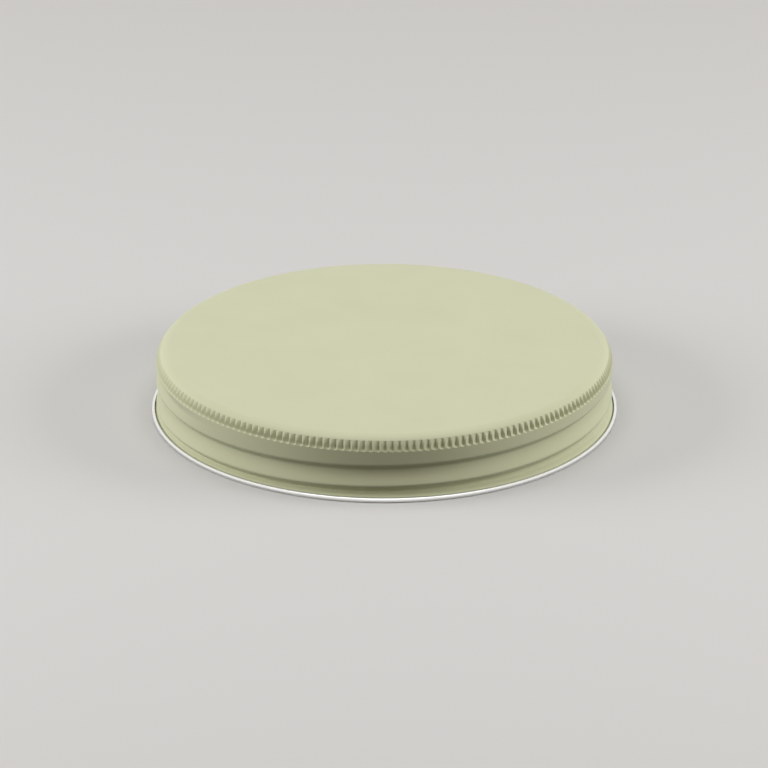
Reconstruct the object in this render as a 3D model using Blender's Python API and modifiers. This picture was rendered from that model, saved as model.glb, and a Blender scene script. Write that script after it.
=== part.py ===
# Metal screw lid for a wide-mouth jar, made of two pieces: the shell, drawn and rolled from
# one sheet, and the liner that seals on the jar's rim.
#
# Lengths are metres and Z is up. The origin is on the lid's axis, in the plane it stands on.
# Angles start at the front, at -Y, and grow towards +X, the way a right-hand thread climbs.

from math import acos, ceil, cos, floor, pi, radians, sin, sqrt, tau

import bmesh
import bpy

# Shell: outer size, sheet and the bend between panel and wall
lid_radius = 0.0508
lid_height = 0.0150
sheet = 0.00025
shoulder_radius = 0.0031

# Knurl: upright flutes pressed inwards, from half way down the bend, measured from the panel
knurl_drop = 0.00105
knurl_height = 0.0021
knurl_upper_end = 0.0003
knurl_lower_end = 0.0006
knurl_depth = 0.0005
knurl_lean = 0.00045
flute_count = 200
flute_skew = 0.65

# Thread: a groove rolled inwards along a right-hand helix, from the foot up to the knurl
thread_pitch = 0.00508
thread_front_height = 0.0073
thread_end_below_knurl = 0.0004
thread_fade = radians(45)
groove_depth = 0.0009
groove_upper_side = 0.0012
groove_lower_side = 0.0031

# Curl: the sheet's edge, rolled outwards and up into a hollow bead
curl_overhang = 0.0011
curl_radius = 0.00055
curl_sweep = radians(288)
flare_height = 0.0013

# Liner
liner_thickness = 0.0010
liner_clearance = 0.0003

# Fineness of the mesh
wall_columns = 80
shoulder_rows = 2
thread_rows_per_turn = 4
flare_rows = 2
curl_step = radians(45)
liner_edge_rows = 3
merge_distance = 0.00001

# Worked out from the above: the bare inner face, which the sheet's thickness is added to
inner_radius = lid_radius - sheet
inner_panel = lid_height - sheet
inner_shoulder = shoulder_radius - sheet
shoulder_foot = lid_height - shoulder_radius
knurl_top = lid_height - knurl_drop
knurl_foot = knurl_top - knurl_height
thread_end_height = knurl_foot - thread_end_below_knurl
curl_centre = lid_radius + curl_overhang - curl_radius
flare_top = curl_radius + flare_height
thread_row_step = thread_pitch / thread_rows_per_turn
liner_top = inner_panel - liner_clearance


def smooth_step(share):
    share = min(1, max(0, share))
    return share * share * (3 - 2 * share)


def thread_height(angle):
    return thread_front_height + thread_pitch * angle / tau


def thread_angle(height):
    return tau * (height - thread_front_height) / thread_pitch


def groove(angle, height):
    # Depth of the rolled groove at a point of the wall: half a cosine wave above its deepest
    # line, steep, and a longer one below, fading in at the foot and out below the knurl. The
    # wall holds two or three turns of it.
    first_turn = floor((thread_angle(0) - angle) / tau)
    last_turn = ceil((thread_angle(thread_end_height) - angle) / tau)
    depth = 0
    for turn in range(first_turn, last_turn + 1):
        along = angle + tau * turn
        rise = height - thread_height(along)
        across = rise / (groove_upper_side if rise > 0 else -groove_lower_side)
        if across < 1:
            start = smooth_step((along - thread_angle(0)) / thread_fade)
            end = smooth_step((thread_angle(thread_end_height) - along) / thread_fade)
            depth += groove_depth * start * end * (1 + cos(pi * across)) / 2
    return depth * smooth_step((knurl_foot - height) / groove_upper_side)


def wall_radius(angle, height):
    return inner_radius - groove(angle, height)


def face_radius(height):
    # The inner face of the plain wall and, above the shoulder's foot, of the bend.
    rise = max(0, height - shoulder_foot)
    return lid_radius - shoulder_radius + sqrt(inner_shoulder**2 - rise**2)


def flute_trough(height):
    # The flutes' deepest line is straight and leans in towards its upper end.
    return inner_radius - knurl_depth - knurl_lean * (height - knurl_foot) / knurl_height


def put(mesh, radius, angle, height):
    return mesh.verts.new((radius * sin(angle), -radius * cos(angle), height))


def level_ring(mesh, radius, height, columns=wall_columns):
    # A ring of (angle, vertex); the radius is one value or a function of the angle.
    ring = []
    for column in range(columns):
        angle = tau * column / columns
        reach = radius(angle) if callable(radius) else radius
        ring.append((angle, put(mesh, reach, angle, height)))
    return ring


def knurl_ring(mesh, height):
    # Lands and troughs take turns round the wall; a trough's right side is the steep one.
    ring = []
    for flute in range(flute_count):
        land = tau * flute / flute_count
        trough = land + tau * flute_skew / flute_count
        ring.append((land, put(mesh, face_radius(height), land, height)))
        ring.append((trough, put(mesh, flute_trough(height), trough, height)))
    return ring


def stitch(mesh, first, second):
    # Joins two rows of (key, vertex): quads where the keys agree, triangles where one is finer.
    here = there = 0
    while here < len(first) - 1 or there < len(second) - 1:
        next_here = first[here + 1][0] if here < len(first) - 1 else float("inf")
        next_there = second[there + 1][0] if there < len(second) - 1 else float("inf")
        corners = [first[here][1], second[there][1]]
        if next_there < next_here + 1e-6:
            there += 1
            corners.append(second[there][1])
        if next_here < next_there + 1e-6:
            here += 1
            corners.append(first[here][1])
        mesh.faces.new(corners)


def stitch_rings(mesh, rings):
    for upper, lower in zip(rings, rings[1:]):
        stitch(mesh, upper + [(tau, upper[0][1])], lower + [(tau, lower[0][1])])


def thread_wall(mesh, upper, lower):
    # The wall between two level rings, in rows that climb with the thread. Row 0 is the
    # groove's deepest line, and after one turn each row has taken the next turn's place.
    columns = []
    ends = 1000
    margin = 0.3 * thread_row_step
    for (angle, top), (_, foot) in zip(upper, lower):
        start = thread_height(angle)
        lowest = ceil((flare_top + margin - start) / thread_row_step)
        highest = floor((thread_end_height - margin - start) / thread_row_step)
        column = [(-ends, foot)]
        for row in range(lowest, highest + 1):
            height = start + row * thread_row_step
            column.append((row, put(mesh, wall_radius(angle, height), angle, height)))
        columns.append(column + [(ends, top)])
    first = [(key - thread_rows_per_turn, vertex) for key, vertex in columns[0][1:-1]]
    columns.append([columns[0][0]] + first + [columns[0][-1]])
    for left, right in zip(columns, columns[1:]):
        stitch(mesh, left, right)


def shoulder_rings(mesh):
    # Round the bend, as far as the knurl's first ring.
    rings = []
    end = acos(max(0, (knurl_top - shoulder_foot) / inner_shoulder))
    for row in range(shoulder_rows):
        turn = end * row / shoulder_rows
        radius = lid_radius - shoulder_radius + inner_shoulder * sin(turn)
        rings.append(level_ring(mesh, radius, shoulder_foot + inner_shoulder * cos(turn)))
    return rings


def flare_rings(mesh):
    # From the threaded wall out to where the curl begins.
    root = curl_centre - curl_radius
    rings = []
    for row in range(flare_rows):
        share = row / flare_rows
        height = flare_top - flare_height * share

        def radius(angle):
            wall = wall_radius(angle, height)
            return wall + (root - wall) * smooth_step(share)

        rings.append(level_ring(mesh, radius, height))
    return rings


def curl_rings(mesh):
    # Down, out and up round the bead, whose outside is the sheet's bare inner face.
    rings = []
    for row in range(ceil(curl_sweep / curl_step) + 1):
        turn = pi + min(curl_step * row, curl_sweep)
        rings.append(level_ring(mesh, curl_centre + curl_radius * cos(turn),
                                curl_radius + curl_radius * sin(turn)))
    return rings


def shell_mesh():
    mesh = bmesh.new()
    shoulder = shoulder_rings(mesh)
    centre = mesh.verts.new((0, 0, inner_panel))
    rim = [vertex for _, vertex in shoulder[0]]
    for left, right in zip(rim, rim[1:] + rim[:1]):
        mesh.faces.new((centre, left, right))
    knurl = [
        level_ring(mesh, face_radius(knurl_top), knurl_top, flute_count),
        knurl_ring(mesh, knurl_top - knurl_upper_end),
        knurl_ring(mesh, knurl_foot + knurl_lower_end),
        level_ring(mesh, face_radius(knurl_foot), knurl_foot, flute_count),
    ]
    top = level_ring(mesh, lambda angle: wall_radius(angle, thread_end_height), thread_end_height)
    flare = flare_rings(mesh)
    stitch_rings(mesh, shoulder + knurl + [top])
    thread_wall(mesh, top, flare[0])
    stitch_rings(mesh, flare + curl_rings(mesh))
    bmesh.ops.triangulate(mesh, faces=mesh.faces, quad_method="SHORT_EDGE")
    data = bpy.data.meshes.new("shell")
    mesh.to_mesh(data)
    mesh.free()
    data.shade_smooth()
    data.set_sharp_from_angle(angle=radians(40))
    return data


def liner_mesh():
    # Half the disc's section, for turning. Its edge lies in the bend, clear of it and of the
    # flutes' inner ridges.
    foot = liner_top - liner_thickness
    flat = lid_radius - shoulder_radius
    bend = inner_shoulder - liner_clearance
    end = acos(max(0, (foot - shoulder_foot) / bend))
    edge = []
    for row in range(liner_edge_rows + 1):
        turn = end * row / liner_edge_rows
        edge.append((flat + bend * sin(turn), shoulder_foot + bend * cos(turn)))
    if foot < shoulder_foot:
        edge.append((flat + bend, foot))
    outline = [(0, liner_top)]
    for radius, height in edge:
        outline.append((min(radius, flute_trough(height) - liner_clearance), height))
    outline.append((0, foot))
    data = bpy.data.meshes.new("liner")
    points = [(x, 0, z) for x, z in outline]
    data.from_pydata(points, [(i, i + 1) for i in range(len(points) - 1)], [])
    return data


def finish(name, colour, roughness, metallic):
    material = bpy.data.materials.new(name)
    material.use_nodes = True
    surface = material.node_tree.nodes["Principled BSDF"]
    surface.inputs["Base Color"].default_value = (*colour, 1)
    surface.inputs["Roughness"].default_value = roughness
    surface.inputs["Metallic"].default_value = metallic
    return material


def add_piece(collection, name, data, material):
    piece = bpy.data.objects.new(name, data)
    data.materials.append(material)
    collection.objects.link(piece)
    return piece


for old in list(bpy.data.objects):
    bpy.data.objects.remove(old, do_unlink=True)

jar_lid = bpy.data.collections.new("jar_lid")
bpy.context.scene.collection.children.link(jar_lid)

cream_enamel = finish("cream_enamel", (0.55, 0.57, 0.38), 0.38, 0)
white_foam = finish("white_foam", (0.80, 0.80, 0.76), 0.75, 0)

shell = add_piece(jar_lid, "shell", shell_mesh(), cream_enamel)
thickness = shell.modifiers.new("sheet", "SOLIDIFY")
thickness.thickness = sheet
thickness.offset = 1

liner = add_piece(jar_lid, "liner", liner_mesh(), white_foam)
turned = liner.modifiers.new("turned", "SCREW")
turned.steps = wall_columns
turned.render_steps = wall_columns
turned.use_merge_vertices = True
turned.merge_threshold = merge_distance
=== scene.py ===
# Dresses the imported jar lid: the sheet with its fluted and rolled wall, the enamel coat on its
# outside and the foam liner, on a pale floor in soft studio light. Sizes in the dictionaries
# are millimetres and degrees, apart from the stage, the lamps and the patterns, in metres.

from math import cos, pi, radians, sin, tau

import bpy
import numpy as np
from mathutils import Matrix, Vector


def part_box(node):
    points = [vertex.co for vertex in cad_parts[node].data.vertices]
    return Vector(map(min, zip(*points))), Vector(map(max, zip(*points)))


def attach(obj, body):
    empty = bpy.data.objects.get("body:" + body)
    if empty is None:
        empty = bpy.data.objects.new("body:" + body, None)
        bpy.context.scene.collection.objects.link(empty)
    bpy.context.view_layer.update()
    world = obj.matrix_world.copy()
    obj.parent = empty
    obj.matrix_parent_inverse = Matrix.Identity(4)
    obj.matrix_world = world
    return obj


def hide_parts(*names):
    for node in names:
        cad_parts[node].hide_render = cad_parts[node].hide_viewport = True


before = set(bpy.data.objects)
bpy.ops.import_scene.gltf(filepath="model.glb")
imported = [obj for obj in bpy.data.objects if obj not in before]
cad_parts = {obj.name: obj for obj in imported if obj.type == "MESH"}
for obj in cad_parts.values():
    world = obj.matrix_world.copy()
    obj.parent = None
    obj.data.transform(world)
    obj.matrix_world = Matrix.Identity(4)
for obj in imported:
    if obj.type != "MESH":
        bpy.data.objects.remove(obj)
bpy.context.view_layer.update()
mm = 0.001


shell = {
    "sheet": 0.25,
    "coat": 0.03,           # enamel, part of the sheet's thickness
    "shoulder": 3.1,        # radius of the bend between panel and wall, outside
    "curlOverhang": 1.1,    # how far the curl stands out from the wall
    "curlRadius": 0.55,
    "curlSweep": 288,       # how far round the bead the sheet goes
    "flareHeight": 1.3,     # the wall's outward sweep above the curl
    "creaseAngle": 50,      # edges sharper than this are shaded sharp, here and on the liner
}

knurl = {
    "top": 1.05,            # below the panel
    "height": 2.2,
    "flutes": 200,
    "depth": 0.8,           # of the troughs, at the knurl's foot
    "lean": 0.12,           # how far a trough leans in towards its upper end
    "deepest": 0.2,         # where it is deepest, in shares of the spacing, from the middle
    "crown": 1.25,          # how round the crests are: 1 is a plain V
    "upperEnd": 0.3,        # length of a flute's crisp upper end
    "lowerEnd": 0.5,        # and of its softer lower end
}

thread = {
    "pitch": 5.08,
    "frontHeight": 6.9,     # of the groove's deepest line, at the front
    "depth": 1.3,
    "above": 1.9,           # height of the groove's steep upper side
    "below": 3.18,          # and of its long lower side
    "fade": 45,             # over which each end of the groove fades
    "endBelowKnurl": 0.4,
}

grid = {
    "flute": (-0.5, -0.3, -0.12, 0.03, 0.13, 0.2, 0.28, 0.38),  # columns over one flute
    "fluteEnd": (0, 0.12, 0.35, 0.65, 1.0),                     # rows over one flute's end
    "fluteRows": 2,         # between its two ends
    "panelRings": 8,
    "bendRows": 14,
    "wallStep": 0.2,
    "flareRows": 6,
    "curlRows": 20,
}

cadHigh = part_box("shell")[1]
height = cadHigh.z / mm
wallRadius = cadHigh.x / mm - shell["curlOverhang"]
bendCentre = height - shell["shoulder"]
knurlTop = height - knurl["top"]
knurlFoot = knurlTop - knurl["height"]
flareTop = shell["curlRadius"] + shell["flareHeight"]
bareBend = shell["shoulder"] - shell["sheet"]

fluteColumns = len(grid["flute"])
fineTurns = np.arange(knurl["flutes"])[:, None] + np.array(grid["flute"])[None, :]
fineAngles = fineTurns.ravel() * tau / knurl["flutes"]
plainAngles = fineAngles[::fluteColumns]


def smooth(share):
    # 3s^2 - 2s^3 between 0 and 1, flat outside.
    share = np.clip(share, 0, 1)
    return share * share * (3 - 2 * share)


def threadDepth(angle, z):
    # For each turn, the depth falls from the groove's deepest line upwards as a steep half wave,
    # and downwards as the mean of a longer half wave and a parabola. The groove fades in at the
    # foot and out at the knurl. The loop covers more turns than the wall holds.
    total = np.zeros(np.broadcast(angle, z).shape)
    startAngle = -thread["frontHeight"] / thread["pitch"] * tau
    endHeight = knurlFoot - thread["endBelowKnurl"]
    endAngle = (endHeight - thread["frontHeight"]) / thread["pitch"] * tau
    fade = radians(thread["fade"])
    for turn in range(-3, 3):
        along = angle + tau * turn
        over = z - (thread["frontHeight"] + thread["pitch"] * along / tau)
        rise = np.clip(over / thread["above"], 0, 1)
        fall = np.clip(-over / thread["below"], 0, 1)
        wave = (1 + np.cos(pi * (rise + fall))) / 2
        wave = np.where(over > 0, wave, (wave + 1 - fall**2) / 2)
        ends = smooth((along - startAngle) / fade) * smooth((endAngle - along) / fade)
        total = total + thread["depth"] * wave * ends
    return total * smooth((knurlFoot - z) / thread["above"])


def fluteDepth(angle, z):
    # The drop from the plain bend to the trough's straight leaning line, shared out across the
    # flute as a V with rounded crests, by a power of the way from crest to trough. Its left side
    # is the long one. The upper end is a parabola, and so is the lower one, which also narrows.
    turn = angle / tau * knurl["flutes"]
    across = turn - np.round(turn) - knurl["deepest"]
    left, right = 0.5 + knurl["deepest"], 0.5 - knurl["deepest"]
    way = 1 - np.where(across < 0, -across / left, across / right)
    upper = np.maximum(0, 1 - (knurlTop - z) / knurl["upperEnd"])
    lower = np.maximum(0, 1 - (z - knurlFoot) / knurl["lowerEnd"])
    plain = np.sqrt(bareBend**2 - np.maximum(0, z - bendCentre)**2) - bareBend
    trough = -knurl["depth"] - knurl["lean"] * (z - knurlFoot) / knurl["height"]
    share = np.maximum(0, way)**knurl["crown"] * (1 - upper**2) - lower**2
    return (plain - trough) * np.maximum(0, share)


def profile():
    # The bare face's section in millimetres, row by row from the panel's edge to the raw edge
    # of the curl: bend, knurl, wall, flare and curl, each with its own number of rows.
    bendEnd = np.arccos((knurlTop - bendCentre) / bareBend)
    turn = np.linspace(0, bendEnd, grid["bendRows"])[:-1]
    flat = wallRadius - shell["shoulder"]
    bend = np.stack([flat + bareBend * np.sin(turn), bendCentre + bareBend * np.cos(turn)], 1)

    shares = np.array(grid["fluteEnd"])
    upper = knurlTop - knurl["upperEnd"] * shares
    lower = knurlFoot + knurl["lowerEnd"] * shares[::-1]
    middle = np.linspace(upper[-1], lower[0], grid["fluteRows"] + 2)[1:-1]
    z = np.concatenate([upper, middle, lower])
    rise = np.maximum(0, z - bendCentre)
    fluted = np.stack([flat + np.sqrt(bareBend**2 - rise**2), z], 1)

    rows = int(np.ceil((knurlFoot - flareTop) / grid["wallStep"]))
    z = np.linspace(knurlFoot, flareTop, rows + 1)[1:]
    wall = np.stack([np.full(rows, wallRadius - shell["sheet"]), z], 1)

    centre = wallRadius + shell["curlOverhang"] - shell["curlRadius"]
    share = np.linspace(0, 1, grid["flareRows"] + 1)[1:-1]
    sweep = (centre - shell["curlRadius"] - wall[-1, 0]) * smooth(share)
    flare = np.stack([wall[-1, 0] + sweep, flareTop - shell["flareHeight"] * share], 1)

    turn = pi + radians(shell["curlSweep"]) * np.linspace(0, 1, grid["curlRows"] + 1)
    curl = np.stack([centre + shell["curlRadius"] * np.cos(turn),
                     shell["curlRadius"] * (1 + np.sin(turn))], 1)
    return bend, fluted, np.concatenate([wall, flare, curl])


def normals(section):
    # Across the section's running direction, towards the enamelled side.
    along = np.gradient(section, axis=0)
    along /= np.linalg.norm(along, axis=1)[:, None]
    return np.stack([-along[:, 1], along[:, 0]], 1)


def swing(section, normal, angles, layer, dent):
    # Each point of the section, moved along its normal by the layer's height and towards the
    # axis by the dent, then carried round the axis from the front.
    r = section[:, 0:1] + normal[:, 0:1] * layer - dent
    z = section[:, 1:2] + normal[:, 1:2] * layer
    return np.stack([r * np.sin(angles), -r * np.cos(angles), z + 0 * angles], -1)


def shellFace(layer):
    # One face of the sheet as four blocks of rows: the pole, the panel with the bend, the
    # fluted band and all below it.
    bend, fluted, lower = profile()
    section = np.concatenate([bend, fluted, lower])
    normal = normals(section)
    normal[0] = (0, 1)
    cuts = [len(bend), len(bend) + len(fluted)]
    reach = bend[0, 0] * np.linspace(0, 1, grid["panelRings"] + 1)[1:-1]
    panel = np.stack([reach, np.full(len(reach), bend[0, 1])], 1)
    flat = np.tile([0.0, 1.0], (len(reach), 1))

    upward = np.concatenate([flat, normal[:cuts[0]]])
    upper = swing(np.concatenate([panel, bend]), upward, plainAngles, layer, 0)
    z = fluted[:, 1:2]
    dent = fluteDepth(fineAngles[None, :], z)
    middle = swing(fluted, normal[cuts[0]:cuts[1]], fineAngles, layer, dent)
    z = lower[:, 1:2]
    hold = np.ones(len(lower))      # the groove's share: it runs out down the flare
    curlStart = len(lower) - grid["curlRows"] - 1
    hold[curlStart:] = 0
    flareRows = slice(curlStart - grid["flareRows"], curlStart)
    hold[flareRows] = 1 - smooth((flareTop - lower[flareRows, 1]) / shell["flareHeight"])
    dent = threadDepth(plainAngles[None, :], z) * hold[:, None]
    foot = swing(lower, normal[cuts[1]:], plainAngles, layer, dent)
    pole = np.array([[0, 0, bend[0, 1] + layer]])
    return pole, upper, middle, foot


def ringOf(first, count):
    # Index pairs of neighbours round a ring.
    here = first + np.arange(count)
    return here, first + (np.arange(count) + 1) % count


def faceList(first, upper, middle, foot):
    # Corner lists, wound to face the enamelled side: a fan at the pole, quads inside a block,
    # and where a plain ring meets a fine one, faces that take in all of one flute's columns.
    plain, fine = len(plainAngles), len(fineAngles)
    faces = []
    here, after = ringOf(first + 1, plain)
    faces.append(np.stack([np.full(plain, first), here, after], 1))

    def quads(start, rows, count):
        # Faces between neighbouring rings of one block.
        for row in range(rows - 1):
            a, b = ringOf(start + row * count, count)
            c, d = ringOf(start + (row + 1) * count, count)
            faces.append(np.stack([a, c, d, b], 1))

    starts = [first + 1]
    quads(starts[0], len(upper), plain)
    starts.append(starts[0] + len(upper) * plain)
    quads(starts[1], len(middle), fine)
    starts.append(starts[1] + len(middle) * fine)
    quads(starts[2], len(foot), plain)

    run = np.arange(plain)[:, None] * fluteColumns + np.arange(fluteColumns + 1)[None, :]
    run %= fine
    a, b = ringOf(starts[1] - plain, plain)
    faces.append(np.concatenate([a[:, None], starts[1] + run, b[:, None]], 1))
    a, b = ringOf(starts[2], plain)
    last = starts[2] - fine
    faces.append(np.concatenate([last + run[:, ::-1], a[:, None], b[:, None]], 1))
    return faces, starts[2] + (len(foot) - 1) * plain


def makeMesh(name, points, faces):
    # Points and blocks of corner lists into a smooth mesh, with its hard edges marked.
    mesh = bpy.data.meshes.new(name)
    corners = np.concatenate([f.ravel() for f in faces]).astype(np.int32)
    totals = np.concatenate([np.full(len(f), f.shape[1]) for f in faces]).astype(np.int32)
    starts = np.concatenate([[0], np.cumsum(totals)[:-1]]).astype(np.int32)
    mesh.vertices.add(len(points))
    mesh.vertices.foreach_set("co", points.astype(np.float32).ravel())
    mesh.loops.add(len(corners))
    mesh.loops.foreach_set("vertex_index", corners)
    mesh.polygons.add(len(totals))
    mesh.polygons.foreach_set("loop_start", starts)
    mesh.update(calc_edges=True)
    mesh.validate()
    mesh.shade_smooth()
    mesh.set_sharp_from_angle(angle=radians(shell["creaseAngle"]))
    return mesh


def addPiece(name, mesh, material):
    # An object at the origin that moves with the lid.
    piece = bpy.data.objects.new(name, mesh)
    bpy.context.scene.collection.objects.link(piece)
    mesh.materials.append(material)
    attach(piece, "root")
    return piece


def layerMesh(name, low, high):
    # A closed layer of the sheet between two heights above the bare face.
    outside = shellFace(high)
    inside = shellFace(low)
    flat = [np.concatenate([block.reshape(-1, 3) for block in side]) for side in (outside, inside)]
    outerFaces, outerEdge = faceList(0, *outside[1:])
    innerFaces, innerEdge = faceList(len(flat[0]), *inside[1:])
    faces = outerFaces + [f[:, ::-1] for f in innerFaces]
    a, b = ringOf(outerEdge, len(plainAngles))
    c, d = ringOf(innerEdge, len(plainAngles))
    faces.append(np.stack([a, c, d, b], 1))
    return makeMesh(name, np.concatenate(flat) * mm, faces)


def newMaterial(name, colour, roughness, metallic=0.0):
    # One colour and one roughness, which the finishes below vary.
    material = bpy.data.materials.new(name)
    material.use_nodes = True
    surface = material.node_tree.nodes["Principled BSDF"]
    surface.inputs["Base Color"].default_value = (*colour, 1)
    surface.inputs["Roughness"].default_value = roughness
    surface.inputs["Metallic"].default_value = metallic
    return material, material.node_tree, surface


def patternAt(tree, scale, kind="ShaderNodeTexNoise", detail=2.0):
    # A noise or cell pattern on Object coordinates, in cycles a metre along each axis.
    place = tree.nodes.new("ShaderNodeTexCoord")
    mapping = tree.nodes.new("ShaderNodeMapping")
    mapping.inputs["Scale"].default_value = scale
    pattern = tree.nodes.new(kind)
    pattern.inputs["Scale"].default_value = 1.0
    if "Detail" in pattern.inputs:
        pattern.inputs["Detail"].default_value = detail
    tree.links.new(place.outputs["Object"], mapping.inputs["Vector"])
    tree.links.new(mapping.outputs["Vector"], pattern.inputs["Vector"])
    return pattern


def ranged(tree, source, low, high, fromLow=0.3, fromHigh=0.7):
    # A straight line from one span of values to another, held at its ends.
    spread = tree.nodes.new("ShaderNodeMapRange")
    spread.inputs["From Min"].default_value = fromLow
    spread.inputs["From Max"].default_value = fromHigh
    spread.inputs["To Min"].default_value = low
    spread.inputs["To Max"].default_value = high
    tree.links.new(source, spread.inputs["Value"])
    return spread.outputs["Result"]


def tinted(tree, source, first, second):
    # The first colour where the source is 0, the second where it is 1.
    mix = tree.nodes.new("ShaderNodeMix")
    mix.data_type = "RGBA"
    mix.inputs["A"].default_value = (*first, 1)
    mix.inputs["B"].default_value = (*second, 1)
    tree.links.new(source, mix.inputs["Factor"])
    return mix.outputs["Result"]


def bumped(tree, surface, source, distance, strength):
    # The source as heights: a value of 1 stands the distance, in metres, above 0.
    bump = tree.nodes.new("ShaderNodeBump")
    bump.inputs["Distance"].default_value = distance
    bump.inputs["Strength"].default_value = strength
    tree.links.new(source, bump.inputs["Height"])
    tree.links.new(bump.outputs["Normal"], surface.inputs["Normal"])


enamel = {
    "colour": (0.585, 0.607, 0.418),
    "second": (0.568, 0.592, 0.404),
    "roughness": (0.34, 0.42),
    "gloss": 0.3,
    "mottle": 70,           # cycles a metre of the clouding, and of the orange peel
    "peel": 1400,
    "peelDepth": 0.000012,
    "peelStrength": 0.5,
}

bareSheet = {
    "colour": (0.86, 0.86, 0.85),
    "second": (0.78, 0.78, 0.77),
    "roughness": (0.28, 0.40),
    "grain": (30, 2600, 2600),  # cycles a metre: rolled along X
    "grainDepth": 0.000004,
    "grainStrength": 0.4,
}

foam = {
    "colour": (0.82, 0.82, 0.78),
    "second": (0.76, 0.76, 0.71),
    "roughness": (0.62, 0.78),
    "cells": 2600,
    "cellDepth": 0.00004,
    "cellStrength": 0.5,
}


def varied(tree, surface, source, look, fromLow=0.3, fromHigh=0.7):
    # Colour and roughness run from a dictionary's first value to its second, over the span of
    # values that the pattern mostly has.
    share = ranged(tree, source, 0, 1, fromLow, fromHigh)
    tree.links.new(tinted(tree, share, look["colour"], look["second"]), surface.inputs["Base Color"])
    rough = ranged(tree, source, *look["roughness"], fromLow, fromHigh)
    tree.links.new(rough, surface.inputs["Roughness"])


def enamelMaterial():
    # Faint clouding in colour and gloss, and a fine orange peel as bump.
    material, tree, surface = newMaterial("creamEnamel", enamel["colour"], enamel["roughness"][0])
    surface.inputs["Specular IOR Level"].default_value = enamel["gloss"]
    mottle = patternAt(tree, (enamel["mottle"],) * 3, detail=4)
    varied(tree, surface, mottle.outputs["Fac"], enamel)
    peel = patternAt(tree, (enamel["peel"],) * 3, detail=1)
    bumped(tree, surface, peel.outputs["Fac"], enamel["peelDepth"], enamel["peelStrength"])
    return material


def bareSheetMaterial():
    # Bare metal with the long fine grain of rolled sheet.
    start = bareSheet["roughness"][0]
    material, tree, surface = newMaterial("brightTinplate", bareSheet["colour"], start, 1.0)
    grain = patternAt(tree, bareSheet["grain"], detail=3)
    varied(tree, surface, grain.outputs["Fac"], bareSheet)
    depth, strength = bareSheet["grainDepth"], bareSheet["grainStrength"]
    bumped(tree, surface, grain.outputs["Fac"], depth, strength)
    return material


def foamMaterial():
    # Small cells, a little darker and rougher between them.
    material, tree, surface = newMaterial("whiteFoam", foam["colour"], foam["roughness"][0])
    cells = patternAt(tree, (foam["cells"],) * 3, "ShaderNodeTexVoronoi")
    varied(tree, surface, cells.outputs["Distance"], foam, 0.2, 0.8)
    bumped(tree, surface, cells.outputs["Distance"], foam["cellDepth"], foam["cellStrength"])
    return material


steelTop = shell["sheet"] - shell["coat"]
sheetMesh = layerMesh("sheetMetal", 0, steelTop)
sheetMetal = addPiece("sheetMetal", sheetMesh, bareSheetMaterial())
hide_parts("shell")
print("sheet:", len(sheetMetal.data.vertices), "vertices")

coatMesh = layerMesh("enamelCoat", steelTop, shell["sheet"])
enamelCoat = addPiece("enamelCoat", coatMesh, enamelMaterial())
print("enamel coat:", len(enamelCoat.data.vertices), "vertices")


liner = {
    "columns": 240,
    "edgeRows": 12,         # round the half circle of its edge
    "faceRings": 6,         # on each face, evenly out to the last one
    "lastRing": 1.2,        # how far that one is from the edge
}
linerLow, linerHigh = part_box("liner")


def linerMesh():
    # A turned disc: from the centre of its upper face, round a half circle and back below.
    top, foot, reach = linerHigh.z / mm, linerLow.z / mm, linerHigh.x / mm
    count, ringCount = liner["columns"], liner["faceRings"]
    turn = np.linspace(0, pi, liner["edgeRows"] + 1)
    middle, half = (top + foot) / 2, (top - foot) / 2
    edge = np.stack([reach - half + half * np.sin(turn), middle + half * np.cos(turn)], 1)
    rings = (reach - liner["lastRing"]) * np.linspace(0, 1, ringCount + 1)[1:]
    upper = np.stack([rings, np.full(ringCount, top)], 1)
    lower = np.stack([rings[::-1], np.full(ringCount, foot)], 1)
    section = np.concatenate([upper, edge, lower])
    angles = np.arange(count) * tau / count
    rows = swing(section, np.zeros_like(section), angles, 0, 0)
    points = np.concatenate([[[0, 0, top]], rows.reshape(-1, 3), [[0, 0, foot]]])
    here, after = ringOf(1, count)
    faces = [np.stack([np.zeros(count, int), here, after], 1)]
    for row in range(len(section) - 1):
        a, b = ringOf(1 + row * count, count)
        c, d = ringOf(1 + (row + 1) * count, count)
        faces.append(np.stack([a, c, d, b], 1))
    last = len(points) - 1
    a, b = ringOf(last - count, count)
    faces.append(np.stack([np.full(count, last), b, a], 1))
    return makeMesh("foamLiner", points * mm, faces)


foamLiner = addPiece("foamLiner", linerMesh(), foamMaterial())
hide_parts("liner")
print("liner:", len(foamLiner.data.vertices), "vertices")


stage = {
    "floorColour": 0.66,    # as the camera and bright metal see it
    "bounce": 0.03,         # as it lights the lid
    "floorHalf": 3.0,
    "floorRoughness": 0.9,
    "floorGloss": 0.1,
    "worldLight": (0.315, 0.280, 0.238),    # what the world gives the lid
    "worldSeen": (1.0, 0.99, 0.96),         # and what the camera and bright metal see of it
}


def seen(tree):
    # 1 for camera, glossy and transmission rays, 0 for the rest.
    rays = tree.nodes.new("ShaderNodeLightPath")
    first = tree.nodes.new("ShaderNodeMath")
    first.operation = "MAXIMUM"
    second = tree.nodes.new("ShaderNodeMath")
    second.operation = "MAXIMUM"
    tree.links.new(rays.outputs["Is Camera Ray"], first.inputs[0])
    tree.links.new(rays.outputs["Is Glossy Ray"], first.inputs[1])
    tree.links.new(first.outputs["Value"], second.inputs[0])
    tree.links.new(rays.outputs["Is Transmission Ray"], second.inputs[1])
    return second.outputs["Value"]


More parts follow.
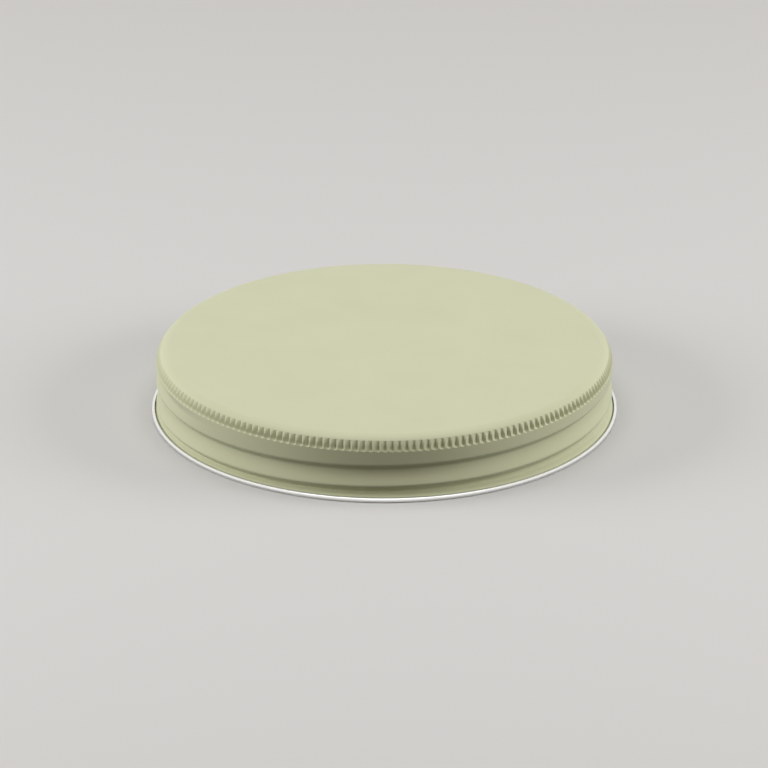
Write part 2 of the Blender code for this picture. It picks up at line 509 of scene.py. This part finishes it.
def makeFloor():
    # A plain square in the plane that the lid stands on.
    half = stage["floorHalf"]
    mesh = bpy.data.meshes.new("floor")
    corners = [(-half, -half, 0), (half, -half, 0), (half, half, 0), (-half, half, 0)]
    mesh.from_pydata(corners, [], [(0, 1, 2, 3)])
    pale, dark = (stage["floorColour"],) * 3, (stage["bounce"],) * 3
    material, tree, surface = newMaterial("paleFloor", pale, stage["floorRoughness"])
    surface.inputs["Specular IOR Level"].default_value = stage["floorGloss"]
    shade = tinted(tree, seen(tree), dark, pale)
    tree.links.new(shade, surface.inputs["Base Color"])
    mesh.materials.append(material)
    floor = bpy.data.objects.new("floor", mesh)
    bpy.context.scene.collection.objects.link(floor)


def makeWorld():
    # A soft fill from all round, with its own pale colour where it is seen.
    world = bpy.data.worlds.new("studio")
    bpy.context.scene.world = world
    world.use_nodes = True
    tree = world.node_tree
    shade = tinted(tree, seen(tree), stage["worldLight"], stage["worldSeen"])
    tree.links.new(shade, tree.nodes["Background"].inputs["Color"])


lamps = {
    # place, size, watts, colour, and whether glossy surfaces show the lamp itself
    "above": ((0.0, 0.02, 0.76), (0.7, 0.7), 2.40, (0.96, 1.0, 1.05), True),
    "left": ((-0.75, -0.05, 0.25), (0.5, 0.4), 4.1, (1.0, 1.0, 1.0), False),
    "right": ((0.75, -0.05, 0.25), (0.5, 0.4), 3.9, (1.0, 1.0, 1.0), False),
}


def makeLamp(name, place, size, watts, colour, shown):
    # A soft rectangle that faces the lid: tipped by the angle between straight down and the
    # way to the lid, then turned to it.
    data = bpy.data.lights.new(name, "AREA")
    data.shape = "RECTANGLE"
    data.size, data.size_y = size
    data.energy = watts
    data.color = colour
    lamp = bpy.data.objects.new(name, data)
    lamp.visible_glossy = shown
    lamp.location = place
    direction = -np.array(place)
    pitch = np.arctan2(np.hypot(direction[0], direction[1]), -direction[2])
    turn = np.arctan2(direction[1], direction[0]) - pi / 2
    lamp.rotation_euler = (pitch, 0, turn)
    bpy.context.scene.collection.objects.link(lamp)


view = {
    "distance": 3048,       # 60 wall radii
    "elevation": 23.25,
    "focalPixels": 13682,
    "imageWidth": 768,
    "sensor": 36,
    "aim": (-0.073, 0, 6.24),
    "roll": -0.03,
    "clip": (0.05, 20),     # metres
}


def makeCamera():
    # Straight back from the point it looks at, along the photo's viewing angle.
    tilt = radians(view["elevation"])
    data = bpy.data.cameras.new("camera")
    data.sensor_width = view["sensor"]
    data.lens = view["focalPixels"] * data.sensor_width / view["imageWidth"]
    data.clip_start, data.clip_end = view["clip"]
    camera = bpy.data.objects.new("camera", data)
    back = np.array([0, -cos(tilt), sin(tilt)]) * view["distance"]
    camera.location = (np.array(view["aim"]) + back) * mm
    camera.rotation_mode = "ZYX"
    camera.rotation_euler = (pi / 2 - tilt, 0, radians(view["roll"]))
    bpy.context.scene.collection.objects.link(camera)
    bpy.context.scene.camera = camera


makeFloor()
makeWorld()
for name, values in lamps.items():
    makeLamp(name, *values)
makeCamera()
bpy.context.scene.view_settings.view_transform = "Standard"
print("stage ready")
